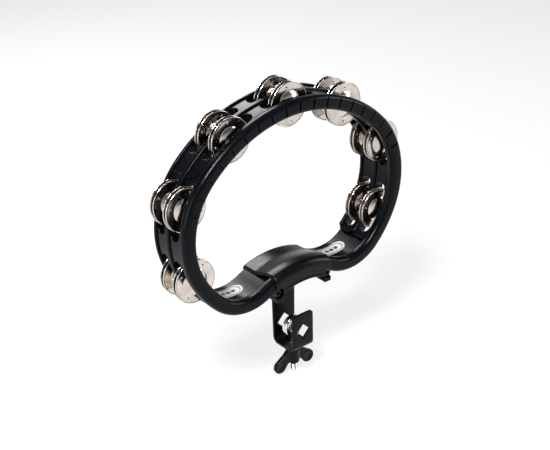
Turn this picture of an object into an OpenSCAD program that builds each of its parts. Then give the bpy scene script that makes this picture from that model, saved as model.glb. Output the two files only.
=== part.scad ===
// Mountable tambourine: a bowed, kidney-shaped ABS ring with two rows of
// steel jingle pairs, held over its bowed handle by a two-part clamp, and
// hung from a bent steel bracket with an eye bolt and wing nut for a stand rod.
// Frame of the part: origin at the middle of the rod clamp's eye, +Y along the
// rod and towards the back row of jingles, +Z up, +X to the right.

/* [Ring outline] */
// Height of the rim's centreline above the ring centre, at the top
ring_top = 106; // [104:0.5:108]
// Radius of the rim's top arc
arc_top_r = 167; // [164:1:170]
// Radius of the rim's shoulder arcs
arc_shoulder_r = 97; // [95:1:99]
// Radius of the rim's lower side arcs
arc_side_r = 126; // [122:1:130]
// Radius of the two bottom lobes
arc_lobe_r = 53; // [52:0.5:54]

/* [Frame section] */
// Radial width of the rails
rail_w = 16.6; // [16:0.2:17]
// Depth of the front rim, front to back
rim_d = 13.5; // [13:0.1:13.6]
// Corner radius of the front rim
rim_r = 5.5; // [4:0.5:6]
// Depth of the front rail, both rows and the back rail together
frame_d = 57; // [57:0.5:59]
// How far the panels between the jingles lie below the rails
panel_drop = 2; // [1:0.5:3]
// Width of the scraping notches across the front rim
notch_w = 2; // [1.5:0.1:2.5]
// Distance between two notches along the rim
notch_pitch = 18.9; // [18:0.1:19.4]
// Number of notches on each side of the top one
notch_n = 9; // [0:1:9]

/* [Jingles] */
// Outer diameter of a jingle
jingle_d = 50; // [46:1:51]
// Height of a jingle's dome above its flange
dome_h = 4.2; // [3:0.1:4.4]
// Diameter of a jingle's dome at its foot
dome_d = 30; // [26:1:32]
// Thickness of the jingle sheet
sheet = 0.6; // [0.4:0.1:0.7]
// Gap between the rims of a pair at rest
pair_gap = 3.4; // [3:0.1:3.6]
// Diameter of the jingle pins
pin_d = 3.2; // [2.8:0.1:3.2]
// Length of a jingle slot along the rim
slot_l = 66; // [62:1:66]

/* [Clamp and bracket] */
// Half length of the clamp along the handle
clamp_hl = 40; // [39:0.5:41]
// Wall thickness of the clamp cover
cover_t = 2.7; // [2.4:0.1:3]
// Thickness of the lower jaw
jaw_t = 4.7; // [4.2:0.1:5]
// Steel thickness of the bracket
strap_t = 3; // [2.5:0.1:3]
// Inside gap of the bracket's U
u_gap = 31; // [30:0.5:32]
// Side of the square windows that take the rod
window_s = 14.3; // [14:0.1:15]
// Bore diameter of the eye bolt
eye_d = 13.5; // [13:0.1:13.8]
// Outer diameter of the eye
eye_od = 27; // [26:0.5:28]
// Shank diameter of the eye bolt
bolt_d = 8; // [8:0.1:8]

/* [Hidden] */
$fn = 96;
// middle of the rod clamp, measured from the ring centre and front rim
ring_y = -12.75;
ring_z = 168;
hw = rail_w/2;
y_front = -7;                    // front face of the front rim
y_rim = y_front + rim_d;         // back face of the front rim
y_mid0 = 22.5; y_mid1 = 30;      // middle rail
y_back0 = 46;                    // back rail
y_back1 = y_front + frame_d;
slot_r = 8.2;
row_y = [14.5, 38];              // middle planes of the two jingle rows
pin_u = -1.6;                    // pins lie just inside the rail centreline

// headings (clockwise from the top) where one arc of the rim meets the next
H = [0, 45, 116, 136.5, 207.5];
R = [arc_top_r, arc_shoulder_r, arc_side_r, arc_lobe_r];
function dir(h) = [sin(h), cos(h)];
function ctr(i) = i == 0 ? [0, ring_top - R[0]] : ctr(i-1) + (R[i-1]-R[i])*dir(H[i]);
P4 = ctr(3) + R[3]*dir(H[4]);    // where the lobe turns into the handle
RH = -P4[0]/sin(H[4]);           // radius of the bowed handle
CH = [0, P4[1] + RH*cos(H[4])];  // its centre, below the ring
gh = H[4] - 180;
function len_to(i) = i == 0 ? 0 : len_to(i-1) + R[i-1]*(H[i]-H[i-1])*PI/180;
// [x, z, heading] of the centreline at distance s from the top
function arc_of(s) = s <= len_to(1) ? 0 : s <= len_to(2) ? 1 : s <= len_to(3) ? 2 : 3;
function head(s) = H[arc_of(s)] + (s - len_to(arc_of(s)))/R[arc_of(s)]*180/PI;
function at(s) = s < 0 ? [-at(-s)[0], at(-s)[1], -head(-s)]
               : concat(ctr(arc_of(s)) + R[arc_of(s)]*dir(head(s)), [head(s)]);
STATIONS = [-258.5, -169, -81.5, 0, 81.5, 169, 258.5];

screw_x = 36.2; screw_z = -103; screw_r = 2; head_r = 5;
zb = -24.5;                      // underside of the bracket's base

// ---------- helpers ----------
module in_ring() { translate([0, ring_y, ring_z]) children(); }

// puts children at a station of the rim: local +Z points out of the ring
module station(s) {
    p = at(s);
    translate([p[0], 0, p[1]]) rotate([0, p[2], 0]) children();
}

// sweeps a profile drawn as [radius, depth] about an axis along +Y
module sweep(c, h0, h1) {
    translate([c[0], 0, c[1]]) rotate([-90, 0, 0]) rotate([0, 0, h0-90])
        rotate_extrude(angle = h1-h0) children();
}

// rounded rectangle from exact arcs
module rr(x0, x1, y0, y1, r) {
    translate([x0+r, y0]) square([x1-x0-2*r, y1-y0]);
    translate([x0, y0+r]) square([x1-x0, y1-y0-2*r]);
    for (x = [x0+r, x1-r], y = [y0+r, y1-r]) translate([x, y]) circle(r = r);
}

module both() { children(); mirror([1, 0, 0]) children(); }

// cylinder along +Y
module ycyl(x, z, y0, y1, r) { translate([x, y0, z]) rotate([-90, 0, 0]) cylinder(r = r, h = y1-y0); }

// ---------- ring frame ----------
module section(g = 0) {
    rr(-hw-g, hw+g, y_front-g, y_rim+g, rim_r);
    rr(-hw-g, hw+g, y_mid0-g, y_mid1+g, 1.5);
    rr(-hw-g, hw+g, y_back0-g, y_back1+g, 1.2);
    translate([-hw+panel_drop-g, y_rim-2]) square([rail_w-2*panel_drop+2*g, y_back1-y_rim]);
}
// a thin collar over each place where two arcs meet
module collar(s) station(s) translate([0.6, 0, 0]) rotate([0, -90, 0]) linear_extrude(1.2) section(0.04);

module frame() color("#16171a") in_ring() difference() {
    union() {
        sweep(ctr(0), -H[1]+0.01, H[1]-0.01) translate([R[0], 0]) section();
        for (i = [1:3]) both() sweep(ctr(i), H[i]+0.02, H[i+1]-0.02) translate([R[i], 0]) section();
        sweep(CH, -gh+0.02, gh-0.02) translate([RH, 0]) mirror([1, 0]) section();
        for (i = [1:4], e = [-1, 1]) collar(e*(len_to(i)-(i == 4 ? 0.001 : 0)));
        // small ring marks on the front rim
        for (s = [-1, 1]) station(s*6.5*notch_pitch) rotate([90, 0, 0]) difference() {
            translate([0, 0, 6]) cylinder(r = 2.6, h = -y_front-6+0.4);
            translate([0, 0, 5]) cylinder(r = 1.7, h = 6);
        }
    }
    // slots for the jingle pairs
    for (s = STATIONS, y = row_y) station(s) translate([0, y, 0]) {
        translate([-(slot_l/2-slot_r), -slot_r, -16]) cube([slot_l-2*slot_r, 2*slot_r, 32]);
        for (e = [-1, 1]) translate([e*(slot_l/2-slot_r), 0, -16]) cylinder(r = slot_r, h = 32);
    }
    // bores for the jingle pins
    for (s = STATIONS) station(s) ycyl(0, pin_u, 1, y_back1+2, pin_d/2+0.04);
    // flat pan along the inside of the lobes and handle
    both() sweep(ctr(3), H[3]+3.5, H[4]-0.02) translate([R[3]-hw-4, y_rim+0.1]) square([hw+3.2, frame_d]);
    sweep(CH, -gh+0.02, gh-0.02) translate([RH+0.8, y_rim+0.1]) square([hw+4, frame_d]);
    both() station(len_to(4)-0.001) translate([-0.6, y_rim+0.04, -hw-4.5]) cube([1.2, frame_d, hw+3.76]);
    // scraping notches across the front of the rim
    for (i = [-notch_n:notch_n]) station(i*notch_pitch) translate([-notch_w/2, y_front-1, -hw-1]) cube([notch_w, 2.6, rail_w+2]);
    // seats of the clamp screws
    for (s = [-1, 1]) {
        ycyl(s*screw_x, screw_z, y_front-2, 5, head_r+0.8);
        ycyl(s*screw_x, screw_z, 4, y_back1+2, screw_r+0.3);
    }
}

// seven long pins, each through both rows
module jingle_pins() color("#3a3b3e") in_ring() for (s = STATIONS) station(s) ycyl(0, pin_u, 1.2, y_back1, pin_d/2);

// ---------- jingles ----------
dome_R = (dome_d*dome_d/4 + dome_h*dome_h)/(2*dome_h);
module jingle_profile() {
    difference() {
        intersection() {
            translate([0, 0.45+sheet+dome_h-dome_R]) difference() {
                circle(r = dome_R);
                circle(r = dome_R-sheet);
            }
            translate([pin_d/2+0.2, 0.5]) square([dome_d/2-pin_d/2+0.1, 10]);
        }
    }
    translate([dome_d/2-0.2, 0.45]) square([jingle_d/2-0.75-dome_d/2+0.2, sheet]);
    translate([jingle_d/2-0.75, 0.75]) circle(r = 0.75);
}
// dome towards the front (side -1) or the back (side 1) of its row
module jingle(st, row, side) color("#c9c6c0") in_ring() station(STATIONS[st-1])
    translate([0, row_y[row] + side*pair_gap/2, pin_u]) rotate([-90*side, 0, 0]) rotate_extrude() jingle_profile();

// ---------- clamp on the handle ----------
module clamp_box() { translate([-clamp_hl, -30, -130]) cube([2*clamp_hl, 120, 80]); }

module cover_outer() {
    r0 = RH-hw;
    translate([r0-0.1, -10]) square([hw+3.1, 8]);
    translate([RH+2, -1]) circle(r = 9);
    polygon([[r0-0.1, -3], [RH+11, -3], [RH+10.8, 7], [RH+8.6, 16], [RH+4.6, 30], [RH+3.8, y_back1+0.3+cover_t-2], [RH+1.8, y_back1+0.3+cover_t], [r0-jaw_t-0.3, y_back1+0.3+cover_t], [r0-jaw_t-0.3, y_back1+0.3], [r0-0.1, y_back1-4]]);
}
module cover_inner() {
    rr(RH-hw-8, RH+hw+0.1, y_front-0.3, y_rim+0.3, rim_r);
    polygon([[RH-hw-8, -1], [RH+hw+0.05, 1], [RH+hw+0.05, 7.5], [RH+5.4, 16], [RH+1.8, 30], [RH+1.4, y_back1+0.3], [RH-hw-8, y_back1+0.3]]);
}
module clamp_cover() color("#1b1c1f") in_ring() difference() {
    intersection() {
        sweep(CH, -gh, gh) difference() { cover_outer(); cover_inner(); }
        clamp_box();
    }
    for (s = [-1, 1]) {
        ycyl(s*screw_x, screw_z, -14, 5, head_r+2);
        ycyl(s*screw_x, screw_z, 4, 60, screw_r+0.2);
    }
}

module clamp_jaw() color("#1a1b1d") in_ring() difference() {
    intersection() {
        union() {
            sweep(CH, -gh, gh) translate([RH-hw-jaw_t, -20]) square([jaw_t+2, 80]);
            both() translate([31, -20, -113.4]) cube([clamp_hl-28, 80, 20]);
            translate([-17.5, 5, -101.8]) cube([35, 28, 5]);
        }
        translate([0, -30, CH[1]]) rotate([-90, 0, 0]) cylinder(r = RH-hw-0.3, h = 120, $fn = 180);
        translate([-clamp_hl, -9.5, -130]) cube([2*clamp_hl, y_back1+9.5, 80]);
    }
    for (s = [-1, 1]) {
        ycyl(s*screw_x, screw_z, -14, 5, head_r+0.6);
        ycyl(s*screw_x, screw_z, 4, 60, screw_r+0.2);
        ycyl(s*screw_x, screw_z, -14, -5, head_r+1.4);
    }
    for (x = [-9, 9]) translate([x, 18, -110]) cylinder(r = 2.6, h = 20);
}

// socket-headed screws from front to back
module clamp_screws() color("#24262a") in_ring() for (s = [-1, 1]) difference() {
    union() {
        ycyl(s*screw_x, screw_z, -6.8, 4.8, head_r);
        ycyl(s*screw_x, screw_z, 4, 56.5, screw_r);
    }
    translate([s*screw_x, -8, screw_z]) rotate([-90, 0, 0]) cylinder(r = 2.6, h = 5, $fn = 6);
}

module clamp_nuts() color("#24262a") in_ring() for (s = [-1, 1]) difference() {
    translate([s*screw_x, y_back1+0.3+cover_t+0.1, screw_z]) rotate([-90, 0, 0]) cylinder(r = 4.04, h = 3.2, $fn = 6);
    ycyl(s*screw_x, screw_z, 40, 60, screw_r+0.05);
}

// ---------- bracket ----------
yo = u_gap/2 + strap_t;          // outer faces of the U
br = 8;                          // outer bend radius
zt = ring_z - 101.8 - 0.05;      // top face of the bracket's upper flange
yf = -6;                         // front end of the upper flange
// the bent strap drawn as [depth, height], with its front leg left long
module u_profile() difference() {
    rr(-yo, yo, zb, zt, br);
    rr(-yo+strap_t, yo-strap_t, zb+strap_t, zt-strap_t, br-strap_t);
    translate([-yo-10, 30]) square([yo+10+yf, zt]);
}
module bracket() color("#1d2124") difference() {
    intersection() {
        translate([-20, 0, 0]) rotate([90, 0, 90]) linear_extrude(40) u_profile();
        union() {
            // the strap widens a little towards the clamp
            translate([0, 40, 0]) rotate([90, 0, 0]) linear_extrude(52)
                polygon([[-15.2, zb-1], [15.2, zb-1], [16.6, zt+1], [-16.6, zt+1]]);
            // front flange with rounded corners
            translate([0, -11, 0]) rotate([90, 0, 0]) linear_extrude(20) {
                translate([-15, zb-1]) square([30, 23.8-zb+1-4.5]);
                translate([-10.5, zb-1]) square([21, 23.8-zb+1]);
                for (x = [-10.5, 10.5]) translate([x, 19.3]) circle(r = 4.5);
            }
        }
    }
    rotate([0, 45, 0]) cube([window_s, 60, window_s], center = true);
    translate([0, 0, zb-5]) cylinder(r = bolt_d/2+0.3, h = 12);
    for (x = [-9, 9]) translate([x, 18+ring_y, zt-10]) cylinder(r = 2.6, h = 12);
}

// two countersunk rivets hold the bracket's top flange under the jaw
module bracket_rivets() color("#2a2c2f") for (x = [-9, 9]) translate([x, 18+ring_y, 0]) {
    translate([0, 0, zt-strap_t-1.9]) cylinder(r1 = 3.2, r2 = 4.6, h = 1.85);
    translate([0, 0, zt-strap_t-0.06]) cylinder(r = 2.5, h = 6.4);
}

// ---------- eye bolt and wing nut ----------
bolt_end = -60.2;
module eye_bolt() color("#c8c0bb") difference() {
    union() {
        rotate([-90, 0, 0]) rotate_extrude() rr(eye_d/2, eye_od/2, -4, 4, 1.2);
        translate([0, 0, -17]) cylinder(r1 = bolt_d/2, r2 = 5.4, h = 6.5);
        translate([0, 0, bolt_end+1.2]) cylinder(r = bolt_d/2, h = -bolt_end-1.2-14);
        translate([0, 0, bolt_end]) cylinder(r1 = bolt_d/2-1.2, r2 = bolt_d/2, h = 1.21);
    }
    rotate([-90, 0, 0]) translate([0, 0, -10]) cylinder(r = eye_d/2, h = 20);
}

lobe_x = 20.3; lobe_z = -49.4; lobe_r = 8.2;
module wing_nut() color("#191b1e") rotate([0, 0, -2]) difference() {
    union() {
        translate([0, 0, -49.2]) cylinder(r1 = 7, r2 = 7.6, h = 24.5);
        both() translate([0, 2.8, 0]) rotate([90, 0, 0]) linear_extrude(5.6) {
            translate([lobe_x, lobe_z]) circle(r = lobe_r);
            polygon([[4, -27.5], [9, -29.5], [lobe_x+6.2, lobe_z+5.4], [lobe_x-5.5, lobe_z-6.1], [6, -46], [4, -46]]);
        }
    }
    translate([0, 0, -70]) cylinder(r = bolt_d/2+0.05, h = 60);
}

// ---------- oval labels on the pan ----------
module label(s) color("#eceaea") in_ring() mirror([s < 0 ? 1 : 0, 0, 0]) intersection() {
    sweep(ctr(3), H[3], H[4]) translate([R[3]-0.8-0.3, 20]) square([0.3, 24]);
    translate([76.5, 32, -120]) {
        for (x = [-9.5, 9.5]) translate([x, 0, 0]) cylinder(r = 9, h = 60);
        translate([-9.5, -9, 0]) cube([19, 18, 60]);
    }
}
module label_left() label(-1);
module label_right() label(1);

frame();
jingle_pins();
clamp_cover();
clamp_jaw();
clamp_screws();
clamp_nuts();
bracket();
bracket_rivets();
eye_bolt();
wing_nut();
label_left();
label_right();
jingle(1, 0, -1);  // jingle_1_front_outer
jingle(1, 0, 1);  // jingle_1_front_inner
jingle(1, 1, 1);  // jingle_1_back_outer
jingle(1, 1, -1);  // jingle_1_back_inner
jingle(2, 0, -1);  // jingle_2_front_outer
jingle(2, 0, 1);  // jingle_2_front_inner
jingle(2, 1, 1);  // jingle_2_back_outer
jingle(2, 1, -1);  // jingle_2_back_inner
jingle(3, 0, -1);  // jingle_3_front_outer
jingle(3, 0, 1);  // jingle_3_front_inner
jingle(3, 1, 1);  // jingle_3_back_outer
jingle(3, 1, -1);  // jingle_3_back_inner
jingle(4, 0, -1);  // jingle_4_front_outer
jingle(4, 0, 1);  // jingle_4_front_inner
jingle(4, 1, 1);  // jingle_4_back_outer
jingle(4, 1, -1);  // jingle_4_back_inner
jingle(5, 0, -1);  // jingle_5_front_outer
jingle(5, 0, 1);  // jingle_5_front_inner
jingle(5, 1, 1);  // jingle_5_back_outer
jingle(5, 1, -1);  // jingle_5_back_inner
jingle(6, 0, -1);  // jingle_6_front_outer
jingle(6, 0, 1);  // jingle_6_front_inner
jingle(6, 1, 1);  // jingle_6_back_outer
jingle(6, 1, -1);  // jingle_6_back_inner
jingle(7, 0, -1);  // jingle_7_front_outer
jingle(7, 0, 1);  // jingle_7_front_inner
jingle(7, 1, 1);  // jingle_7_back_outer
jingle(7, 1, -1);  // jingle_7_back_inner
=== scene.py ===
# Mountable tambourine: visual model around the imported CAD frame.
# Shapes are worked out in millimetres in the ring's own frame and moved into
# the shared frame, whose origin is the middle of the rod clamp's eye.
import math
import random

import bpy
import numpy as np
from mathutils import Matrix, Vector


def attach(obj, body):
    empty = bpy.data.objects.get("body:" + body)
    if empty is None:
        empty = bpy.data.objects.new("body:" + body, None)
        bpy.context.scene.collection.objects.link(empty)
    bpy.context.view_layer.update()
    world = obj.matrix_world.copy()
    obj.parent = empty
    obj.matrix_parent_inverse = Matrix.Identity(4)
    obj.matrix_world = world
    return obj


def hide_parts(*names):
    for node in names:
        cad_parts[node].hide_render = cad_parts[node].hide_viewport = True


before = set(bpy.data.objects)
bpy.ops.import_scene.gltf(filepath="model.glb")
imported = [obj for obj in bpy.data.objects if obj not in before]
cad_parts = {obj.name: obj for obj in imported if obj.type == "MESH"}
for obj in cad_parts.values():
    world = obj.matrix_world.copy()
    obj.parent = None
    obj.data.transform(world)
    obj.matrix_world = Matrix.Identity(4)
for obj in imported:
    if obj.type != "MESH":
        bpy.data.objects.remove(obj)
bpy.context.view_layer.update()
scene = bpy.context.scene
coll = scene.collection

MM = 0.001
RY, RZ = -12.75, 168.0          # ring frame to shared frame

# ------------------------------------------------------------------ camera
YAW, PITCH, ROLL, FOC = 0.66968, 0.46470, -0.02708, 1083.67
fw = Vector((math.sin(YAW) * math.cos(PITCH), math.cos(YAW) * math.cos(PITCH), -math.sin(PITCH)))
r0 = Vector((math.cos(YAW), -math.sin(YAW), 0.0))
u0 = r0.cross(fw)
r2 = r0 * math.cos(ROLL) + u0 * math.sin(ROLL)
u2 = u0 * math.cos(ROLL) - r0 * math.sin(ROLL)
cam_data = bpy.data.cameras.new("camera")
cam = bpy.data.objects.new("camera", cam_data)
coll.objects.link(cam)
m = Matrix.Identity(4)
for i in range(3):
    m[i][0], m[i][1], m[i][2] = r2[i], u2[i], -fw[i]
m[0][3], m[1][3], m[2][3] = -0.6805, -0.83095, 0.6693
cam.matrix_world = m
cam_data.sensor_fit = "HORIZONTAL"
cam_data.sensor_width = 36.0
cam_data.lens = FOC * 36.0 / 550.0
cam_data.clip_start, cam_data.clip_end = 0.01, 60
scene.camera = cam

# ------------------------------------------------------------------ rim line
HD = [math.radians(v) for v in (0, 45, 116, 136.5, 207.5)]
RR = [167.0, 97.0, 126.0, 53.0]
CC = [(0.0, 106.0 - 167.0)]
for i in (1, 2, 3):
    CC.append((CC[-1][0] + (RR[i - 1] - RR[i]) * math.sin(HD[i]),
               CC[-1][1] + (RR[i - 1] - RR[i]) * math.cos(HD[i])))
P4 = (CC[3][0] + RR[3] * math.sin(HD[4]), CC[3][1] + RR[3] * math.cos(HD[4]))
RH = -P4[0] / math.sin(HD[4])
CHZ = P4[1] + RH * math.cos(HD[4])
LN = [0.0]
for i in range(4):
    LN.append(LN[-1] + RR[i] * (HD[i + 1] - HD[i]))
LT = LN[4] + RH * (HD[4] - math.pi)
STATIONS = [-258.5, -169.0, -81.5, 0.0, 81.5, 169.0, 258.5]
ROWS = [14.5, 38.0]
HW = 8.3


def place(s, u, y):
    """Points of the rim: s along it from the top, u outwards, y in depth, in mm; returns metres in the shared frame."""
    s, u, y = np.broadcast_arrays(np.asarray(s, float), np.asarray(u, float), np.asarray(y, float))
    s = (s + LT) % (2 * LT) - LT
    side = np.where(s < 0, -1.0, 1.0)
    a = np.abs(s)
    x = np.zeros_like(a)
    z = np.zeros_like(a)
    for i in range(4):
        k = (a >= LN[i]) & (a <= LN[i + 1] if i < 4 else True)
        h = HD[i] + (a - LN[i]) / RR[i]
        x = np.where(k, CC[i][0] + (RR[i] + u) * np.sin(h), x)
        z = np.where(k, CC[i][1] + (RR[i] + u) * np.cos(h), z)
    k = a > LN[4]
    h = HD[4] - (a - LN[4]) / RH
    x = np.where(k, -(RH - u) * np.sin(h), x)
    z = np.where(k, CHZ - (RH - u) * np.cos(h), z)
    return np.stack([side * x * MM, (y + RY) * MM, (z + RZ) * MM], -1)


def heading(s):
    a = abs(s)
    for i in range(4):
        if a <= LN[i + 1]:
            h = HD[i] + (a - LN[i]) / RR[i]
            break
    else:
        h = HD[4] - (a - LN[4]) / RH
    return math.copysign(h, s) if s else 0.0


def row(x, y, z):
    """A point in ring millimetres, in the shared frame in metres."""
    return Vector((x * MM, (y + RY) * MM, (z + RZ) * MM))


# ------------------------------------------------------------------ mesh helpers
def make(name, verts, faces, mats=(), mat_index=None, sharp=35.0):
    me = bpy.data.meshes.new(name)
    me.from_pydata([tuple(v) for v in verts], [], [tuple(int(i) for i in f) for f in faces])
    me.validate()
    for mt in mats:
        me.materials.append(mt)
    if mat_index is not None:
        me.polygons.foreach_set("material_index", np.asarray(mat_index, np.int32))
    me.shade_smooth()
    if sharp:
        me.set_sharp_from_angle(angle=math.radians(sharp))
    me.update()
    ob = bpy.data.objects.new(name, me)
    coll.objects.link(ob)
    return ob


def tube(rings, closed=True, caps=True):
    """Quads over rings[n][p] of points. closed joins the last ring to the first. Rings are closed loops."""
    rings = np.asarray(rings, float)
    n, p = rings.shape[:2]
    faces = []
    for i in range(n if closed else n - 1):
        a, b = i * p, ((i + 1) % n) * p
        for j in range(p):
            k = (j + 1) % p
            faces.append((a + j, a + k, b + k, b + j))
    if not closed and caps:
        faces.append(tuple(reversed(range(p))))
        faces.append(tuple(range((n - 1) * p, n * p)))
    return rings.reshape(-1, 3), faces


def outward(verts, faces):
    """The same faces, turned so that the closed mesh has a positive volume."""
    v = np.asarray(verts, float)
    vol = 0.0
    for f in faces:
        a = v[f[0]]
        for i in range(1, len(f) - 1):
            vol += float(np.dot(a, np.cross(v[f[i]], v[f[i + 1]])))
    return faces if vol > 0 else [tuple(reversed(f)) for f in faces]


def solid(name, rings, closed=True, **kw):
    v, f = tube(rings, closed)
    return make(name, v, outward(v, f), **kw)


def joined(parts):
    """Several (verts, faces) as one."""
    vs, fs, base = [], [], 0
    for v, f in parts:
        vs.append(np.asarray(v, float))
        fs += [tuple(i + base for i in q) for q in f]
        base += len(v)
    return np.vstack(vs), fs


def round_rect(a0, a1, b0, b1, r, seg=6, mid=1):
    """A rounded rectangle as a closed loop of (a, b)."""
    rs = r if hasattr(r, "__len__") else (r, r, r, r)   # corners (a1,b1), (a0,b1), (a0,b0), (a1,b0)
    pts = []
    corners = [(a1, b1, 0), (a0, b1, 90), (a0, b0, 180), (a1, b0, 270)]
    for (a, b, t0), rad in zip(corners, rs):
        ca = a - rad if a == a1 else a + rad
        cb = b - rad if b == b1 else b + rad
        for i in range(seg + 1):
            t = math.radians(t0 + 90 * i / seg)
            pts.append((ca + rad * math.cos(t), cb + rad * math.sin(t)))
    out = []
    for i, q in enumerate(pts):
        out.append(q)
        nx = pts[(i + 1) % len(pts)]
        if (i + 1) % (seg + 1) == 0 and mid > 1:
            for k in range(1, mid):
                out.append((q[0] + (nx[0] - q[0]) * k / mid, q[1] + (nx[1] - q[1]) * k / mid))
    return np.array(out)


def revolve(profile, seg=64, closed_profile=True):
    """Rings about local Z of a closed (r, z) loop, in mm."""
    pr = np.asarray(profile, float)
    rings = []
    for i in range(seg):
        t = 2 * math.pi * i / seg
        rings.append(np.stack([pr[:, 0] * math.cos(t), pr[:, 0] * math.sin(t), pr[:, 1]], -1))
    return np.array(rings)


def disc_solid(profile, seg=48, wobble=None):
    """A closed solid of revolution about Z from an open (r, z) profile whose ends lie on the axis."""
    pr = [(float(a), float(b)) for a, b in profile]
    verts = [(0, 0, pr[0][1])]
    body = pr[1:-1]
    for a, b in body:
        for i in range(seg):
            t = 2 * math.pi * i / seg
            verts.append((a * math.cos(t), a * math.sin(t), b))
    verts.append((0, 0, pr[-1][1]))
    faces = []
    for i in range(seg):
        faces.append((0, 1 + (i + 1) % seg, 1 + i))
    for k in range(len(body) - 1):
        a, b = 1 + k * seg, 1 + (k + 1) * seg
        for i in range(seg):
            j = (i + 1) % seg
            faces.append((a + i, a + j, b + j, b + i))
    last = len(verts) - 1
    a = 1 + (len(body) - 1) * seg
    for i in range(seg):
        faces.append((last, a + i, a + (i + 1) % seg))
    v = np.array(verts, float)
    return v, outward(v, faces)


def placed(v, matrix):
    a = np.array(matrix)
    return np.asarray(v, float) @ a[:3, :3].T + a[:3, 3]


def evaluated(ob, name=None):
    """ob with its modifiers applied to its mesh."""
    dg = bpy.context.evaluated_depsgraph_get()
    me = bpy.data.meshes.new_from_object(ob.evaluated_get(dg), depsgraph=dg)
    ob.modifiers.clear()
    old = ob.data
    ob.data = me
    if old.users == 0:
        bpy.data.meshes.remove(old)
    return ob


def boolean(ob, tool, op):
    md = ob.modifiers.new("b", "BOOLEAN")
    md.operation, md.solver, md.object = op, "MANIFOLD", tool
    evaluated(ob)
    bpy.data.objects.remove(tool)
    return ob


def resharp(ob, deg=35.0):
    ob.data.shade_smooth()
    ob.data.set_sharp_from_angle(angle=math.radians(deg))
    return ob


def weighted(ob):
    md = ob.modifiers.new("normals", "WEIGHTED_NORMAL")
    md.keep_sharp = True
    md.weight = 60
    return ob


def bevelled(ob, width, seg=3, deg=35.0):
    md = ob.modifiers.new("bevel", "BEVEL")
    md.width, md.segments = width * MM, seg
    md.limit_method = "ANGLE"
    md.angle_limit = math.radians(deg)
    md.harden_normals = False
    md.use_clamp_overlap = True
    return ob


def set_material(ob, mt):
    ob.data.materials.clear()
    ob.data.materials.append(mt)
    for p in ob.data.polygons:
        p.material_index = 0


def ycyl(x, z, y0, y1, r, seg=48, r1=None):
    """A closed cylinder (or cone) along +Y in ring millimetres, as (verts, faces) in metres."""
    v, f = disc_solid([(0, 0), (r, 0), (r1 or r, y1 - y0), (0, y1 - y0)], seg)
    mt = Matrix.Rotation(-math.pi / 2, 4, "X")
    v = placed(v, mt) + np.array([x, y0, z])
    v = (v + np.array([0, RY, RZ])) * MM
    return v, outward(v, f)


def box_mesh(x0, x1, y0, y1, z0, z1):
    v = np.array([[x, y, z] for x in (x0, x1) for y in (y0, y1) for z in (z0, z1)], float)
    f = [(0, 1, 3, 2), (4, 6, 7, 5), (0, 4, 5, 1), (2, 3, 7, 6), (0, 2, 6, 4), (1, 5, 7, 3)]
    return v, outward(v, f)


# ------------------------------------------------------------------ materials
def material(name):
    mt = bpy.data.materials.new(name)
    mt.use_nodes = True
    nt = mt.node_tree
    bs = nt.nodes["Principled BSDF"]
    return mt, nt, bs


def noise(nt, scale, detail=3.0, rough=0.55, coords="Object"):
    tc = nt.nodes.new("ShaderNodeTexCoord")
    no = nt.nodes.new("ShaderNodeTexNoise")
    no.inputs["Scale"].default_value = scale
    no.inputs["Detail"].default_value = detail
    no.inputs["Roughness"].default_value = rough
    nt.links.new(tc.outputs[coords], no.inputs["Vector"])
    return no


def ramp(nt, src, stops):
    cr = nt.nodes.new("ShaderNodeValToRGB")
    while len(cr.color_ramp.elements) > 1:
        cr.color_ramp.elements.remove(cr.color_ramp.elements[-1])
    cr.color_ramp.elements[0].position = stops[0][0]
    cr.color_ramp.elements[0].color = stops[0][1]
    for pos, col in stops[1:]:
        e = cr.color_ramp.elements.new(pos)
        e.color = col
    nt.links.new(src, cr.inputs["Fac"])
    return cr


def map_range(nt, src, lo, hi, f0=0.0, f1=1.0):
    mr = nt.nodes.new("ShaderNodeMapRange")
    mr.inputs["From Min"].default_value = f0
    mr.inputs["From Max"].default_value = f1
    mr.inputs["To Min"].default_value = lo
    mr.inputs["To Max"].default_value = hi
    nt.links.new(src, mr.inputs["Value"])
    return mr


def bump(nt, bs, src, strength, dist):
    bm = nt.nodes.new("ShaderNodeBump")
    bm.inputs["Strength"].default_value = strength
    bm.inputs["Distance"].default_value = dist
    nt.links.new(src, bm.inputs["Height"])
    nt.links.new(bm.outputs["Normal"], bs.inputs["Normal"])
    return bm


def coated(name, dark, light, rough, spread, spec=0.5, metal=0.0, coat=0.0, coat_rough=0.1,
           grain=900.0, grain_strength=0.12, grain_dist=0.00012, patch=22.0):
    """Moulded or painted surface: slow patches of tone and gloss, and a fine grain."""
    mt, nt, bs = material(name)
    big = noise(nt, patch, 4.0)
    fine = noise(nt, grain, 2.0, 0.6)
    cr = ramp(nt, big.outputs["Fac"], [(0.35, (*dark, 1)), (0.68, (*light, 1))])
    nt.links.new(cr.outputs["Color"], bs.inputs["Base Color"])
    mr = map_range(nt, big.outputs["Fac"], rough - spread, rough + spread, 0.3, 0.7)
    nt.links.new(mr.outputs["Result"], bs.inputs["Roughness"])
    bs.inputs["Metallic"].default_value = metal
    bs.inputs["Specular IOR Level"].default_value = spec
    bs.inputs["Coat Weight"].default_value = coat
    bs.inputs["Coat Roughness"].default_value = coat_rough
    bump(nt, bs, fine.outputs["Fac"], grain_strength, grain_dist)
    return mt


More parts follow.
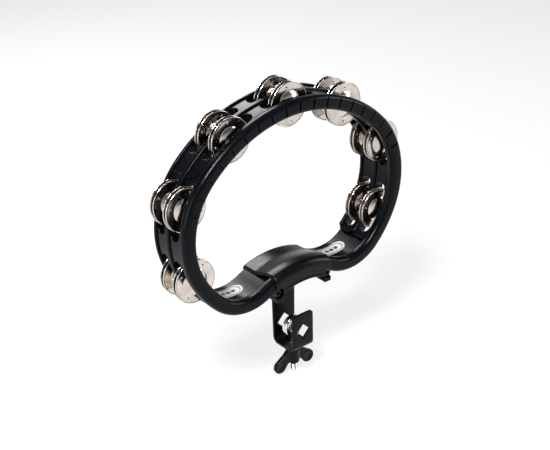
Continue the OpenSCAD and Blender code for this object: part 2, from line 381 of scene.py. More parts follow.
def metal(name, dark, light, rough, spread, grain=700.0, strength=0.05, dist=0.00005, patch=60.0, aniso=0.0):
    mt, nt, bs = material(name)
    big = noise(nt, patch, 5.0)
    fine = noise(nt, grain, 2.0, 0.6)
    cr = ramp(nt, big.outputs["Fac"], [(0.38, (*dark, 1)), (0.62, (*light, 1))])
    nt.links.new(cr.outputs["Color"], bs.inputs["Base Color"])
    mr = map_range(nt, big.outputs["Fac"], rough - spread, rough + spread, 0.3, 0.7)
    nt.links.new(mr.outputs["Result"], bs.inputs["Roughness"])
    bs.inputs["Metallic"].default_value = 1.0
    bs.inputs["Anisotropic"].default_value = aniso
    bump(nt, bs, fine.outputs["Fac"], strength, dist)
    return mt


ABS = coated("black_abs", (0.0010, 0.0012, 0.0020), (0.0024, 0.0028, 0.0044), 0.24, 0.05, spec=0.11,
             grain=1400, grain_strength=0.10, grain_dist=0.00008)
COVER = coated("black_cover", (0.0016, 0.0016, 0.0019), (0.0034, 0.0032, 0.0034), 0.27, 0.05, spec=0.17,
               grain=1600, grain_strength=0.10, grain_dist=0.00008)
POWDER = coated("powder_coat", (0.0016, 0.0022, 0.0026), (0.0036, 0.0046, 0.0050), 0.30, 0.06, spec=0.11,
                grain=1100, grain_strength=0.22, grain_dist=0.00015)
GLOSS = coated("black_gloss", (0.0012, 0.0016, 0.0022), (0.0028, 0.0034, 0.0046), 0.20, 0.05, spec=0.12, coat=0.05,
               coat_rough=0.08, grain=300, grain_strength=0.08, grain_dist=0.0002)
SCREW = metal("black_oxide", (0.030, 0.030, 0.034), (0.060, 0.060, 0.068), 0.30, 0.06)
PIN = metal("pin_steel", (0.20, 0.195, 0.19), (0.34, 0.33, 0.32), 0.28, 0.08)
JINGLE = metal("jingle_nickel", (0.56, 0.50, 0.45), (0.74, 0.67, 0.62), 0.13, 0.04, grain=420, strength=0.08,
               dist=0.0001)
NICKEL = metal("nickel_plate", (0.70, 0.66, 0.64), (0.85, 0.82, 0.80), 0.17, 0.05)
WHITE = coated("label_white", (0.40, 0.40, 0.40), (0.47, 0.47, 0.47), 0.35, 0.05, grain=500, grain_strength=0.03,
               grain_dist=0.00005)
GREY = coated("label_grey", (0.10, 0.10, 0.105), (0.14, 0.14, 0.15), 0.35, 0.05, grain=500, grain_strength=0.03,
              grain_dist=0.00005)
INK = coated("label_ink", (0.012, 0.012, 0.013), (0.02, 0.02, 0.022), 0.35, 0.05, grain=500, grain_strength=0.03,
             grain_dist=0.00005)

ROOT = "ring_and_bracket"

# ------------------------------------------------------------------ frame
PITCH_N, NOTCH_HALF, NOTCH_DEEP = 18.9, 1.0, 1.6


def rim_samples():
    s = list(np.arange(-LT, LT - 0.2, 2 * LT / 480))
    keep = []
    edges = [(i * PITCH_N) for i in range(-9, 10)]
    for v in s:
        if all(abs(v - e) > 1.5 for e in edges):
            keep.append((v, 99.0))
    for e in edges:
        keep += [(e - 1.22, 99.0), (e - 1.05, 0.22), (e - 1.0, NOTCH_DEEP - 0.3), (e - 0.75, NOTCH_DEEP), (e, NOTCH_DEEP),
                 (e + 0.75, NOTCH_DEEP), (e + 1.0, NOTCH_DEEP - 0.3), (e + 1.05, 0.22), (e + 1.22, 99.0)]
    keep.sort()
    return keep


def front_rim():
    sec = round_rect(-HW, HW, -7.0, 6.5, 5.5, seg=9, mid=2)
    rings = []
    for s, deep in rim_samples():
        y = sec[:, 1].copy()
        if deep < 50:
            y = np.maximum(y, -7.0 + deep)
        rings.append(place(s, sec[:, 0], y))
    return tube(rings)


def smooth(t):
    t = min(max(t, 0.0), 1.0)
    return t * t * (3 - 2 * t)


def rail(y0, y1, r):
    ss = sorted(set(list(np.round(np.arange(-LT, LT - 0.2, 2 * LT / 400), 4))
                    + [sg * v for sg in (-1, 1) for v in np.round(np.arange(294, 303, 0.75), 3)]))
    rings = []
    for s in ss:
        inner = -HW + (HW - 0.4) * smooth((abs(s) - 295.5) / 5.0)
        sec = round_rect(inner, HW, y0, y1, r, seg=4, mid=3)
        rings.append(place(s, sec[:, 0], sec[:, 1]))
    return tube(rings)


def web_end(dy):
    return 24.8 + math.sqrt(max(8.2 * 8.2 - dy * dy, 0.0))


def web(row_y, s0, s1, end0=None, end1=None):
    """One web between two jingle slots, whose ends follow the slots' round ends. end0/end1 give a straight end instead."""
    r, seg = 0.9, 3
    dys = [-8.4] + [8.2 * math.sin(math.radians(a)) for a in np.linspace(-90, 90, 21)] + [8.4]
    rings = []
    for dy in dys:
        a = s0 + web_end(dy) if end0 is None else end0
        b = s1 - web_end(dy) if end1 is None else end1
        loop = []
        n = 26
        for k in range(n + 1):
            loop.append((a + r + (b - a - 2 * r) * k / n, 6.3))
        for k in range(1, seg + 1):
            t = math.radians(90 - 90 * k / seg)
            loop.append((b - r + r * math.cos(t), 6.3 - r + r * math.sin(t)))
        for k in range(0, seg + 1):
            t = math.radians(-90 * k / seg)
            loop.append((b - r + r * math.cos(t), -6.3 + r + r * math.sin(t)))
        for k in range(1, n + 1):
            loop.append((b - r - (b - a - 2 * r) * k / n, -6.3))
        for k in range(1, seg + 1):
            t = math.radians(270 - 90 * k / seg)
            loop.append((a + r + r * math.cos(t), -6.3 + r + r * math.sin(t)))
        for k in range(0, seg):
            t = math.radians(180 - 90 * k / seg)
            loop.append((a + r + r * math.cos(t), 6.3 - r + r * math.sin(t)))
        loop = np.array(loop)
        rings.append(place(loop[:, 0], loop[:, 1], row_y + dy))
    v, f = tube(rings, closed=False)
    return v, outward(v, f)


def pan():
    sec = round_rect(-0.8, 6.3, 5.2, 49.9, (1.0, 1.0, 1.0, 1.0), seg=4, mid=6)
    ss = np.concatenate([np.linspace(299.0, LT, 90), np.linspace(-LT, -299.0, 90)[1:]])
    rings = [place(s, sec[:, 0], sec[:, 1]) for s in ss]
    v, f = tube(rings, closed=False)
    return v, outward(v, f)


def torus(s, major, minor, y):
    """A small raised ring on the front face of the rim."""
    n, p = 40, 10
    c = place(s, 0.0, 0.0)
    h = heading(s)
    tx, tz = math.cos(h), -math.sin(h)
    ux, uz = math.sin(h), math.cos(h)
    rings = []
    for i in range(n):
        t = 2 * math.pi * i / n
        ring = []
        for j in range(p):
            q = 2 * math.pi * j / p
            rad = (major + minor * math.cos(q)) * MM
            ring.append((c[0] + rad * (math.cos(t) * tx + math.sin(t) * ux), (y + RY + minor * math.sin(q)) * MM,
                         c[2] + rad * (math.cos(t) * tz + math.sin(t) * uz)))
        rings.append(ring)
    v, f = tube(rings)
    return v, outward(v, f)


v, f = front_rim()
frame_ob = make("ring_frame", v, outward(v, f), mats=[ABS])
v1, f1 = rail(22.5, 30.0, 1.5)
v2, f2 = rail(46.0, 50.0, 1.2)
boolean(frame_ob, make("t", *joined([(v1, outward(v1, f1)), (v2, outward(v2, f2))])), "UNION")
webs = []
for ry in ROWS:
    for a, b in zip(STATIONS[:-1], STATIONS[1:]):
        webs.append(web(ry, a, b))
    webs.append(web(ry, STATIONS[-1], 0, end1=301.0))
    webs.append(web(ry, 0, STATIONS[0], end0=-301.0))
boolean(frame_ob, make("t", *joined(webs)), "UNION")
boolean(frame_ob, make("t", *pan()), "UNION")
boolean(frame_ob, make("t", *joined([torus(s * 6.5 * PITCH_N, 2.15, 0.5, -6.95) for s in (-1, 1)])), "UNION")
seats = [ycyl(sx * 36.2, -103.0, -9.0, 5.0, 5.8) for sx in (-1, 1)] + [ycyl(sx * 36.2, -103.0, 5.0 - 1.0, 54.0, 2.3) for sx in (-1, 1)]
boolean(frame_ob, make("t", *joined(seats[:2])), "DIFFERENCE")
boolean(frame_ob, make("t", *joined(seats[2:])), "DIFFERENCE")
resharp(frame_ob, 38)
weighted(frame_ob)
set_material(frame_ob, ABS)
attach(frame_ob, ROOT)
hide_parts("frame")

# ------------------------------------------------------------------ jingle pins
parts = []
for s in STATIONS:
    c = place(s, -1.6, 0.0)
    v, f = disc_solid([(0, 0), (1.3, 0), (1.6, 0.3), (1.6, 48.5), (1.3, 48.8), (0, 48.8)], 28)
    v = placed(v, Matrix.Rotation(-math.pi / 2, 4, "X")) * MM + np.array([c[0], (1.2 + RY) * MM, c[2]])
    parts.append((v, outward(v, f)))
v, f = joined(parts)
pins = make("pins_steel", v, f, mats=[PIN])
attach(pins, ROOT)
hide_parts("jingle_pins")

# ------------------------------------------------------------------ jingles
SHEET, DOME_H, DOME_D, JD = 0.6, 4.2, 30.0, 50.0
DR = (DOME_D ** 2 / 4 + DOME_H ** 2) / (2 * DOME_H)


def jingle_mesh():
    zc = 0.45 + SHEET + DOME_H - DR
    top, low = [], []
    # outer side: hole, dome, foot fillet, flange, rolled hem
    for r in np.linspace(1.9, 13.9, 15):
        top.append((r, zc + math.sqrt(DR ** 2 - r ** 2)))
    zf = 0.45 + SHEET
    for t in np.linspace(0.15, 1.0, 6):
        r = 13.9 + 2.6 * t
        z0 = zc + math.sqrt(DR ** 2 - min(r, 14.98) ** 2)
        top.append((r, zf + max(z0 - zf, 0) * (1 - t) ** 1.5))
    for r in (18.0, 20.0, 22.0, 23.1):
        top.append((r, zf + 0.02))
    for a in np.linspace(150, -150, 17):
        top.append((24.25 + 0.75 * math.cos(math.radians(a)), 0.75 + 0.75 * math.sin(math.radians(a))))
    for r in (22.0, 20.0, 18.0, 16.2):
        low.append((r, 0.45))
    for t in np.linspace(0.85, 0.0, 5):
        r = 13.9 + 2.0 * t
        z0 = zc + math.sqrt((DR - SHEET) ** 2 - min(r, 14.6) ** 2)
        low.append((r, 0.45 + max(z0 - 0.45, 0) * (1 - t) ** 1.3))
    for r in np.linspace(13.2, 1.9, 14):
        low.append((r, zc + math.sqrt((DR - SHEET) ** 2 - r ** 2)))
    rings = revolve(top + low, 112) * MM
    v, f = tube(rings)
    ob = make("t", v, outward(v, f))
    holes = []
    for k in range(4):
        t = math.radians(45 + 90 * k)
        c = Matrix.Translation((19.6 * math.cos(t), 19.6 * math.sin(t), -2))
        hv, hf = disc_solid([(0, 0), (0.75, 0), (0.75, 6), (0, 6)], 20)
        hv = placed(hv, c) * MM
        holes.append((hv, outward(hv, hf)))
    boolean(ob, make("t2", *joined(holes)), "DIFFERENCE")
    burrs = []
    for k in range(4):
        t = math.radians(45 + 90 * k)
        loop = []
        for j in range(8):
            q = 2 * math.pi * j / 8
            loop.append((1.02 + 0.30 * math.cos(q), 1.05 + 0.02 + 0.34 * math.sin(q)))
        br = revolve(loop, 24)
        br = br + np.array([19.6 * math.cos(t), 19.6 * math.sin(t), 0])
        bv, bf = tube(br * MM)
        burrs.append((bv, outward(bv, bf)))
    boolean(ob, make("t3", *joined(burrs)), "UNION")
    resharp(ob, 40)
    me = ob.data
    bpy.data.objects.remove(ob)
    me.name = "jingle"
    me.materials.clear()
    me.materials.append(JINGLE)
    for p in me.polygons:
        p.material_index = 0
    return me


jm = jingle_mesh()
rng = random.Random(7)
# a few turned copies of the disc, so that the pierced holes differ from jingle to jingle
discs = []
for k in range(7):
    me = jm.copy()
    me.name = "jingle_%d" % k
    me.transform(Matrix.Rotation(rng.uniform(0, 2 * math.pi), 4, "Z"))
    discs.append(me)
bpy.data.meshes.remove(jm)
for i, s in enumerate(STATIONS):
    for ri, rn in enumerate(("front", "back")):
        for end, side in (("outer", -1 if ri == 0 else 1), ("inner", 1 if ri == 0 else -1)):
            node = "jingle_%d_%s_%s" % (i + 1, rn, end)
            ob = bpy.data.objects.new(node + "_disc", discs[rng.randrange(7)])
            coll.objects.link(ob)
            c = place(s, -1.6, ROWS[ri] + side * 1.7)
            base = Matrix.Rotation(-math.pi / 2 * side, 4, "X")
            tilt = Matrix.Rotation(math.radians(rng.uniform(-1.0, 1.0)), 4, "X") @ Matrix.Rotation(
                math.radians(rng.uniform(-1.0, 1.0)), 4, "Z")
            ob.matrix_world = Matrix.Translation(Vector(c)) @ tilt @ base
            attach(ob, node)
            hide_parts(node)

# ------------------------------------------------------------------ clamp cover
SX, SZ = 36.2, -103.0


def arc_z(v, x):
    return CHZ + math.sqrt((RH + v) ** 2 - x * x)


def cover_loop():
    """Closed loop of (v, y, nv, ny): v above the handle's centreline, and the direction to shrink in near the ends."""
    lp = []
    for v in np.linspace(-7.05, 2.0, 6):
        lp.append((v, -10.0, 0.0, 1.0))
    for a in np.linspace(0, 90, 13)[1:]:
        t = math.radians(a)
        lp.append((2.0 + 9.0 * math.sin(t), -1.0 - 9.0 * math.cos(t), -math.sin(t), math.cos(t)))
    for y, v in ((1.5, 11.0), (4.5, 10.96), (7.5, 10.7), (11, 9.95), (15, 8.85), (19, 7.7), (23, 6.5), (27, 5.4), (30, 4.75),
                 (33, 4.4), (37, 4.2), (42, 4.06), (46.0, 3.95), (49.0, 3.86)):
        lp.append((v, y, -1.0, 0.0))
    vb = 3.8
    for a in np.linspace(15, 90, 6):
        t = math.radians(a)
        lp.append((vb - 3.4 + 3.2 * math.cos(t), 49.8 + 3.2 * math.sin(t), -math.cos(t), -math.sin(t)))
    for v in np.linspace(-1.0, -11.9, 6):
        lp.append((v, 53.0, 0.0, -1.0))
    for a in np.linspace(22, 158, 6):
        t = math.radians(a)
        lp.append((-11.95 - 1.35 * math.sin(t), 51.65 + 1.35 * math.cos(t), 0.0, 0.0))
    for v in np.linspace(-11.9, 0.6, 6):
        lp.append((v, 50.3, 0.0, 0.0))
    for y in (49.6, 44, 38, 32, 26, 20, 14, 8.0, 3.0, -1.0):
        v = float(np.interp(y, (8, 16, 30, 50.3), (8.4, 5.4, 1.8, 1.4)))
        lp.append((v, y, 0.0, 0.0))
    for a in np.linspace(0, 90, 9)[1:]:
        t = math.radians(a)
        lp.append((2.9 + 5.5 * math.cos(t), -1.8 - 5.5 * math.sin(t), 0.0, 0.0))
    for v in (0.0, -3.5, -7.05):
        lp.append((v, -7.3, 0.0, 0.0))
    for a in np.linspace(22, 158, 6):
        t = math.radians(a)
        lp.append((-7.05 - 1.35 * math.sin(t), -8.65 + 1.35 * math.cos(t), 0.0, 0.0))
    return lp


def end_inset(x, half, r):
    k = abs(x) - (half - r)
    return 0.0 if k <= 0 else r - math.sqrt(max(r * r - k * k, 0.0))


def x_samples(half, r, n):
    xs = list(np.linspace(-(half - r), half - r, n))
    for a in np.linspace(0, 90, 7)[1:]:
        k = half - r + r * math.sin(math.radians(a))
        xs += [-k, k]
    return sorted(xs)


cl = cover_loop()
rings = []
for x in x_samples(40.0, 2.0, 61):
    d = end_inset(x, 40.0, 2.0)
    ring = []
    for v, y, nv, ny in cl:
        vv, yy = v + nv * d, y + ny * d
        ring.append(row(x, yy, arc_z(vv, x)))
    rings.append(ring)
v, f = tube(rings, closed=False)
cover = make("clamp_cover_shell", v, outward(v, f))
cuts = []
for sx in (-1, 1):
    cuts.append(ycyl(sx * SX, SZ, -14.0, 5.0, 7.3, r1=6.8))
boolean(cover, make("t", *joined(cuts)), "DIFFERENCE")
cuts = [ycyl(sx * SX, SZ, 4.0, 60.0, 2.2, seg=24) for sx in (-1, 1)]
boolean(cover, make("t", *joined(cuts)), "DIFFERENCE")


def bar(x, v0, v1, wide, high):
    """A small raised bar on the front bulge of the cover, running from v0 to v1 round the bulge."""
    rings = []
    for k in range(9):
        t = math.radians(v0 + (v1 - v0) * k / 8)
        lift = high * math.sin(math.pi * min(max(k / 8, 0.0), 1.0)) ** 0.35 if 0 < k < 8 else -0.15
        ring = []
        for a, e in ((-wide / 2, -0.8), (-wide / 2, lift - 0.15), (-wide / 2 + 0.18, lift), (wide / 2 - 0.18, lift),
                     (wide / 2, lift - 0.15), (wide / 2, -0.8)):
            rad = 9.0 + e
            ring.append(row(x + a, -1.0 - rad * math.cos(t), arc_z(2.0 + rad * math.sin(t), x + a)))
        rings.append(ring)
    v, f = tube(rings, closed=False)
    return v, outward(v, f)


bars = [bar(-14.5 + 3.6 * k, 1, 30, 1.7, 0.8) for k in range(9)]
boolean(cover, make("t", *joined(bars)), "UNION")
resharp(cover, 40)
weighted(cover)
set_material(cover, COVER)
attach(cover, ROOT)
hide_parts("clamp_cover")

# ------------------------------------------------------------------ lower jaw
rings = []
xs = sorted(set(x_samples(40.0, 1.5, 53) + [sg * q for sg in (-1, 1) for q in np.linspace(29.2, 31.6, 9)]))
for x in xs:
    d = end_inset(x, 40.0, 1.5)
    zt_ = arc_z(-8.6, x) - d
    za = arc_z(-13.0, x)
    k = smooth((abs(x) - 29.4) / 2.0)
    zb_ = za + (-113.4 - za) * k + d
    sec = round_rect(-9.5 + d, 50.0 - d, zb_, zt_, (0.5, 0.5, 1.5, 1.5), seg=4, mid=6)
    rings.append([row(x, y, z) for y, z in sec])
v, f = tube(rings, closed=False)
jaw = make("clamp_jaw_block", v, outward(v, f))
pad = round_rect(-17.5, 17.5, 5.0, 33.0, 2.0, seg=4)
pr = []
for z, d in ((-101.75, 0.5), (-101.45, 0.1), (-101.2, 0.0), (-97.0, 0.0)):
    cx, cy = 0.0, 19.0
    pr.append([row(cx + (a - cx) * (1 - d / 17.5), cy + (b - cy) * (1 - d / 14.0), z) for a, b in pad])
v, f = tube(pr, closed=False)
boolean(jaw, make("t", v, outward(v, f)), "UNION")
cuts = [ycyl(sx * SX, SZ, -14.0, 5.0, 6.3, r1=5.7) for sx in (-1, 1)]
boolean(jaw, make("t", *joined(cuts)), "DIFFERENCE")
cuts = [ycyl(sx * SX, SZ, 4.0, 60.0, 2.2, seg=24) for sx in (-1, 1)]
boolean(jaw, make("t", *joined(cuts)), "DIFFERENCE")
resharp(jaw, 40)
weighted(jaw)
set_material(jaw, ABS)
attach(jaw, ROOT)
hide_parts("clamp_jaw")

# ------------------------------------------------------------------ clamp screws
parts, socks = [], []
for sx in (-1, 1):
    prof = [(0, -6.8), (4.2, -6.8), (4.6, -6.72), (4.86, -6.5), (5.0, -6.1), (5.0, 4.5), (4.7, 4.8), (2.0, 4.8),
            (2.0, 56.0), (1.6, 56.5), (0, 56.5)]
    v, f = disc_solid(prof, 40)
    v = placed(v, Matrix.Rotation(-math.pi / 2, 4, "X")) + np.array([sx * SX, 0, SZ])
    v = (v + np.array([0, RY, RZ])) * MM
    parts.append((v, outward(v, f)))
    hx = []
    for y, rr_ in ((-8.0, 3.3), (-6.9, 3.0), (-6.5, 2.62), (-3.9, 2.6)):
        hx.append([row(sx * SX + rr_ * math.cos(math.radians(60 * k + 12 * sx)), y,
                       SZ + rr_ * math.sin(math.radians(60 * k + 12 * sx))) for k in range(6)])
    v, f = tube(hx, closed=False)
    socks.append((v, outward(v, f)))
screws = make("clamp_screw_pair", *joined(parts))
boolean(screws, make("t", *joined(socks)), "DIFFERENCE")
resharp(screws, 30)
set_material(screws, SCREW)
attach(screws, ROOT)
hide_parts("clamp_screws")

# ------------------------------------------------------------------ clamp nuts
parts, holes = [], []
for sx in (-1, 1):
    hx = []
    for y, r_ in ((53.12, 3.75), (53.45, 4.04), (56.0, 4.04), (56.3, 3.75)):
        hx.append([row(sx * SX + r_ * math.cos(math.radians(60 * k)), y, SZ + r_ * math.sin(math.radians(60 * k)))
                   for k in range(6)])
    v, f = tube(hx, closed=False)
    parts.append((v, outward(v, f)))
    holes.append(ycyl(sx * SX, SZ, 50.0, 60.0, 2.05, seg=24))
nuts = make("clamp_nut_pair", *joined(parts))
boolean(nuts, make("t", *joined(holes)), "DIFFERENCE")
resharp(nuts, 20)
set_material(nuts, SCREW)
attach(nuts, ROOT)
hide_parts("clamp_nuts")

# ------------------------------------------------------------------ bracket
ZB, ZT = -24.5, 66.15
path = []            # (y, z, ny, nz)


def add_line(y0, z0, y1, z1, ny, nz, n):
    for k in range(n):
        t = k / n
        path.append((y0 + (y1 - y0) * t, z0 + (z1 - z0) * t, ny, nz))


def add_bend(cy, cz, a0, a1, n):
    for k in range(n):
        t = math.radians(a0 + (a1 - a0) * k / n)
        path.append((cy + 6.5 * math.cos(t), cz + 6.5 * math.sin(t), math.cos(t), math.sin(t)))


for q in (0, 0.12, 0.35, 0.7, 1.2, 1.8, 2.5, 3.3, 4.0):
    path.append((-17, 23.8 - q, -1, 0))
add_line(-17, 19.3, -17, ZB + 8, -1, 0, 14)
add_bend(-10.5, ZB + 8, 180, 270, 12)
add_line(-10.5, ZB + 1.5, 10.5, ZB + 1.5, 0, -1, 8)
add_bend(10.5, ZB + 8, 270, 360, 12)
add_line(17, ZB + 8, 17, ZT - 8, 1, 0, 28)
add_bend(10.5, ZT - 8, 0, 90, 12)
add_line(10.5, ZT - 1.5, -5.4, ZT - 1.5, 0, 1, 6)
for q in (0.6, 0.35, 0.15, 0.0):
    path.append((-6 + q, ZT - 1.5, 0, 1))
rings = []
for k, (y, z, ny, nz) in enumerate(path):
    w = 15.2 + 1.4 * (z - (ZB - 1)) / (ZT - ZB + 2)
    d = 23.8 - z
    if k < 10:
        w = 15.0
        if d < 4.5:
            w = 15.0 - 4.5 + math.sqrt(max(4.5 ** 2 - (4.5 - d) ** 2, 0.0))
    elif y < -10.6:
        w = 15.0
    thick = 1.5
    if k == 0 or k == len(path) - 1:
        thick = 1.1
    elif k == 1 or k == len(path) - 2:
        thick = 1.35
    sec = round_rect(-w, w, -thick, thick, 0.55, seg=3, mid=6)
    rings.append([Vector((a * MM, (y + ny * b) * MM, (z + nz * b) * MM)) for a, b in sec])
v, f = tube(rings, closed=False)
bracket = make("bracket_strap", v, outward(v, f))
win = round_rect(-7.15, 7.15, -7.15, 7.15, 0.7, seg=3)
c45 = math.sqrt(0.5)
tool = []
tool_rings = []
for y in (-26.0, 26.0):
    tool_rings.append([Vector(((a - b) * c45 * MM, y * MM, (a + b) * c45 * MM)) for a, b in win])
v, f = tube(tool_rings, closed=False)
boolean(bracket, make("t", v, outward(v, f)), "DIFFERENCE")
v, f = disc_solid([(0, -32), (4.3, -32), (4.3, -15), (0, -15)], 48)
v = v * MM
boolean(bracket, make("t", v, outward(v, f)), "DIFFERENCE")
holes = []
for sx in (-9.0, 9.0):
    v, f = disc_solid([(0, 56), (2.6, 56), (2.6, 72), (0, 72)], 32)
    v = (v + np.array([sx, 18.0 + RY, 0])) * MM
    holes.append((v, outward(v, f)))
boolean(bracket, make("t", *joined(holes)), "DIFFERENCE")
bevelled(bracket, 0.3, 2, 45)
evaluated(bracket)
resharp(bracket, 40)
set_material(bracket, POWDER)
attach(bracket, ROOT)
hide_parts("bracket")

# two rivets under the top flange
parts = []
for sx in (-9.0, 9.0):
    v, f = disc_solid([(0, ZT - 4.9), (2.6, ZT - 4.9), (3.1, ZT - 4.7), (4.6, ZT - 3.05), (2.5, ZT - 3.0), (2.5, ZT + 3.3),
                       (0, ZT + 3.3)], 40)
    v = (v + np.array([sx, 18.0 + RY, 0])) * MM
    parts.append((v, outward(v, f)))
rivets = make("bracket_rivet_pair", *joined(parts), sharp=30)
set_material(rivets, SCREW)
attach(rivets, ROOT)
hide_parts("bracket_rivets")

# ------------------------------------------------------------------ eye bolt
sec = round_rect(6.75, 13.5, -4.0, 4.0, (1.6, 0.9, 0.9, 1.6), seg=5, mid=3)
rings = revolve(sec, 72)
rings = np.stack([rings[..., 0], rings[..., 2], rings[..., 1]], -1) * MM
v, f = tube(rings)
eye = make("eye_bolt_nickel", v, outward(v, f))
pts = []
THREAD, SEG = 1.25, 40
zz = list(np.arange(-60.2, -21.0, 0.2)) + [-20.6, -20.0, -17.5, -16.5, -15.0, -13.5, -12.0, -10.6]
rings = []
for z in zz:
    ring = []
    for k in range(SEG):
        t = 2 * math.pi * k / SEG
        ph = (z / THREAD - t / (2 * math.pi)) % 1.0
        r = 4.0 - 0.62 * (1 - abs(2 * ph - 1))
        if z > -22.4:
            r = max(r, min(4.0, 3.4 + (z + 22.4) * 0.45))
        if z > -20.9:
            r = 4.0
        if z > -17.0:
            r = 4.0 + 1.6 * smooth((z + 17.0) / 6.4)
        r = min(r, 2.7 + (z + 60.2) * 1.0 + 0.05)
        ring.append(Vector((r * math.cos(t) * MM, r * math.sin(t) * MM, z * MM)))
    rings.append(ring)
v, f = tube(rings, closed=False)
boolean(eye, make("t", v, outward(v, f)), "UNION")
resharp(eye, 42)
set_material(eye, NICKEL)
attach(eye, "eye_bolt")
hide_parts("eye_bolt")

# ------------------------------------------------------------------ wing nut
hub = [(0, -49.2), (6.3, -49.2), (6.8, -48.7), (7.0, -48.0), (7.3, -36.0), (7.55, -26.5), (7.3, -25.4), (6.6, -24.75), (0, -24.75)]
v, f = disc_solid(hub, 64)
v = v * MM
wing = make("wing_nut_gloss", v, outward(v, f))
for sg in (-1, 1):
    lobe = [(0, -2.8), (6.9, -2.8), (7.8, -2.35), (8.2, -1.5), (8.2, 1.5), (7.8, 2.35), (6.9, 2.8), (0, 2.8)]
    v, f = disc_solid(lobe, 56)
    v = placed(v, Matrix.Rotation(-math.pi / 2, 4, "X")) + np.array([sg * 20.3, 0, -49.4])
    v = v * MM
    boolean(wing, make("t", v, outward(v, f)), "UNION")
    out = [(4.0, -27.8), (8.6, -29.2), (14.0, -35.5), (20.3 + 5.6, -49.4 + 5.9), (20.3 - 5.4, -49.4 - 5.8), (10.0, -48.6), (6.0, -47.0), (4.0, -46.0)]
    rr = []
    for y, d in ((-2.7, 0.5), (-2.2, 0.0), (2.2, 0.0), (2.7, 0.5)):
        cx, cz = 11.5, -42.0
        rr.append([Vector((sg * (cx + (a - cx) * (1 - d / 9.0)) * MM, y * MM, (cz + (b - cz) * (1 - d / 9.0)) * MM)) for a, b in out])
    v, f = tube(rr, closed=False)
    boolean(wing, make("t", v, outward(v, f)), "UNION")
    dishes = []
    for sy in (-1, 1):
        v, f = disc_solid([(15.0 * math.sin(math.radians(q)), -15.0 * math.cos(math.radians(q))) for q in np.linspace(0, 179.99, 40)], 48)
        v[:, 2] = v[:, 2]
        v = placed(v, Matrix.Rotation(-math.pi / 2, 4, "X")) + np.array([sg * 20.3, sy * (2.8 + 15.0 - 1.15), -49.4])
        dishes.append((v * MM, outward(v, f)))
    boolean(wing, make("t", *joined(dishes)), "DIFFERENCE")
md = wing.modifiers.new("r", "REMESH")
md.mode = "VOXEL"
md.voxel_size = 0.38 * MM
md.use_smooth_shade = True
evaluated(wing)
md = wing.modifiers.new("s", "SMOOTH")
md.factor, md.iterations = 0.6, 10
evaluated(wing)
v, f = disc_solid([(0, -70), (4.05, -70), (4.05, -20), (0, -20)], 48)
v = v * MM
boolean(wing, make("t", v, outward(v, f)), "DIFFERENCE")
wing.data.transform(Matrix.Rotation(math.radians(-2), 4, "Z"))
resharp(wing, 50)
set_material(wing, GLOSS)
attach(wing, "wing_nut")
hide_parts("wing_nut")

# ------------------------------------------------------------------ labels


def stadium(t):
    """Edge of the 37 by 18 mm oval in direction t, in mm."""
    c, s_ = math.cos(t), math.sin(t)
    best = 0.0
    if abs(s_) > 1e-9:
        k = 9.0 / abs(s_)
        if abs(k * c) <= 9.5:
            best = k
    if best == 0.0:
        cx = 9.5 if c > 0 else -9.5
        b = cx * c
        best = b + math.sqrt(max(b * b - (9.5 ** 2 - 81.0), 0.0))
    return best


def pan_point(x, y, lift, side):
    rad = 53.0 - 0.8 - lift
    cx, cz = CC[3]
    z = cz - math.sqrt(max(rad * rad - (x - cx) ** 2, 0.0))
    return row(side * x, y, z)


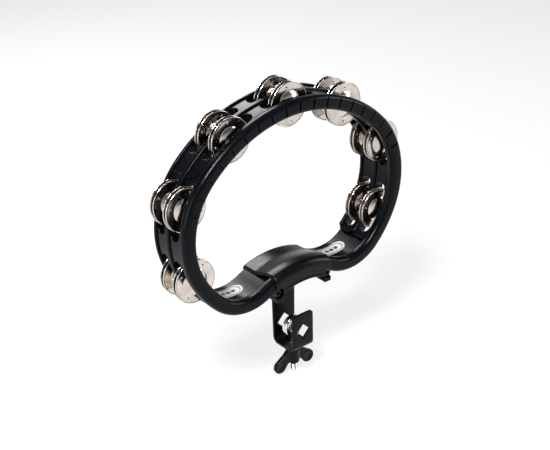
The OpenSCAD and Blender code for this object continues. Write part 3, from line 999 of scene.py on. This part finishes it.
def label_mesh(side):
    """The oval label as a thin shell that follows the pan, with its ring and dots as pieces of their own."""
    n, verts, faces = 72, [], []
    levels = [0.12 * k for k in range(1, 8)] + [0.92, 0.97, 1.0]
    for layer in (0.30, -0.03):
        verts.append(pan_point(76.5, 32.0, layer, side))
        for q in levels:
            for k in range(n):
                t = 2 * math.pi * k / n
                e = stadium(t) * q
                lf = layer - (0.12 if q > 0.98 and layer > 0 else 0.0)
                verts.append(pan_point(76.5 + e * math.cos(t), 32.0 + e * math.sin(t), lf, side))
    half = 1 + len(levels) * n
    for k in range(n):
        j = (k + 1) % n
        faces.append((0, 1 + k, 1 + j))
        faces.append((half, half + 1 + j, half + 1 + k))
        for i in range(len(levels) - 1):
            a, b = 1 + i * n, 1 + (i + 1) * n
            faces.append((a + k, b + k, b + j, a + j))
            faces.append((half + a + j, half + b + j, half + b + k, half + a + k))
        a = 1 + (len(levels) - 1) * n
        faces.append((a + k, half + a + k, half + a + j, a + j))
    centre = np.mean(np.array(verts), axis=0)
    faces_o = outward(np.array(verts) - centre, faces)
    tag = "left" if side < 0 else "right"
    face = make("label_oval_" + tag, verts, faces_o, mats=[WHITE])
    # a raised grey ring near the edge
    rings = []
    for k in range(n):
        t = 2 * math.pi * k / n
        e = stadium(t)
        rings.append([pan_point(76.5 + e * q * math.cos(t), 32.0 + e * q * math.sin(t), lf, side)
                      for q, lf in ((0.76, 0.1), (0.76, 0.50), (0.78, 0.56), (0.85, 0.56), (0.87, 0.50), (0.87, 0.1))])
    rv, rf = tube(rings)
    ring = make("label_ring_" + tag, rv, outward(rv, rf), mats=[GREY])
    # three plain dots
    parts = []
    for cx in (-6.6, 0.0, 6.6):
        loc = [pan_point(76.5 + cx, 32.0, 0.62, side)]
        for rad, lf in ((2.3, 0.62), (2.6, 0.55), (2.6, 0.05)):
            for k in range(28):
                t = 2 * math.pi * k / 28
                loc.append(pan_point(76.5 + cx + rad * math.cos(t), 32.0 + rad * math.sin(t), lf, side))
        loc.append(pan_point(76.5 + cx, 32.0, 0.05, side))
        df = []
        for k in range(28):
            j = (k + 1) % 28
            df.append((0, 1 + k, 1 + j))
            df.append((1 + k, 29 + k, 29 + j, 1 + j))
            df.append((29 + k, 57 + k, 57 + j, 29 + j))
            df.append((85, 57 + j, 57 + k))
        centre = np.mean(np.array(loc), axis=0)
        parts.append((np.array(loc), [tuple(q) for q in df], centre))
    fixed = []
    for pv, pf, c in parts:
        fixed.append((pv, [tuple(q) for q in outward(pv - c, pf)]))
    dots = make("label_dots_" + tag, *joined(fixed), mats=[INK])
    return face, ring, dots


for side, node in ((-1, "label_left"), (1, "label_right")):
    face, ring, dots = label_mesh(side)
    for ob in (face, ring, dots):
        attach(ob, ROOT)
    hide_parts(node)

# ------------------------------------------------------------------ floor and light
mt, nt, bs = material("studio_floor")
bs.inputs["Base Color"].default_value = (0.26, 0.26, 0.26, 1)
bs.inputs["Emission Color"].default_value = (1, 1, 1, 1)
bs.inputs["Emission Strength"].default_value = 0.66
bs.inputs["Roughness"].default_value = 0.9
bs.inputs["Specular IOR Level"].default_value = 0.1
floor_z = -0.0612
fv = [(-9, -6, floor_z), (11, -6, floor_z), (11, 14, floor_z), (-9, 14, floor_z)]
floor = make("studio_floor", fv, [(0, 1, 2, 3)], sharp=0)
set_material(floor, mt)

world = bpy.data.worlds.new("studio")
scene.world = world
world.use_nodes = True
world.node_tree.nodes["Background"].inputs["Color"].default_value = (0.88, 0.93, 1.0, 1)
wn = world.node_tree
wc = wn.nodes.new("ShaderNodeTexCoord")
ws = wn.nodes.new("ShaderNodeSeparateXYZ")
wn.links.new(wc.outputs["Generated"], ws.inputs["Vector"])
# pale near the horizon, dim overhead
wm = map_range(wn, ws.outputs["Z"], 0.85, 0.14, 0.04, 0.32)
wn.links.new(wm.outputs["Result"], wn.nodes["Background"].inputs["Strength"])
scene.view_settings.view_transform = "Standard"


def area(name, loc, target, sx, sy, power, color=(1, 1, 1)):
    d = bpy.data.lights.new(name, "AREA")
    d.shape, d.size, d.size_y, d.energy, d.color = "RECTANGLE", sx, sy, power, color
    o = bpy.data.objects.new(name, d)
    coll.objects.link(o)
    o.location = loc
    o.rotation_mode = "QUATERNION"
    o.rotation_quaternion = (Vector(target) - Vector(loc)).to_track_quat("-Z", "Y")
    return o


area("key", (-0.9, -0.5, 1.5), (0, 0, 0.1), 0.5, 0.5, 46)
area("fill", (1.3, -0.7, 0.7), (0, 0, 0.1), 0.5, 0.8, 7)
area("back", (0.2, 1.3, 1.1), (0, 0, 0.1), 0.9, 0.4, 18)
area("low_left", (-1.5, 0.3, 0.5), (0, 0, 0.1), 0.3, 0.7, 7, (0.85, 0.92, 1.0))
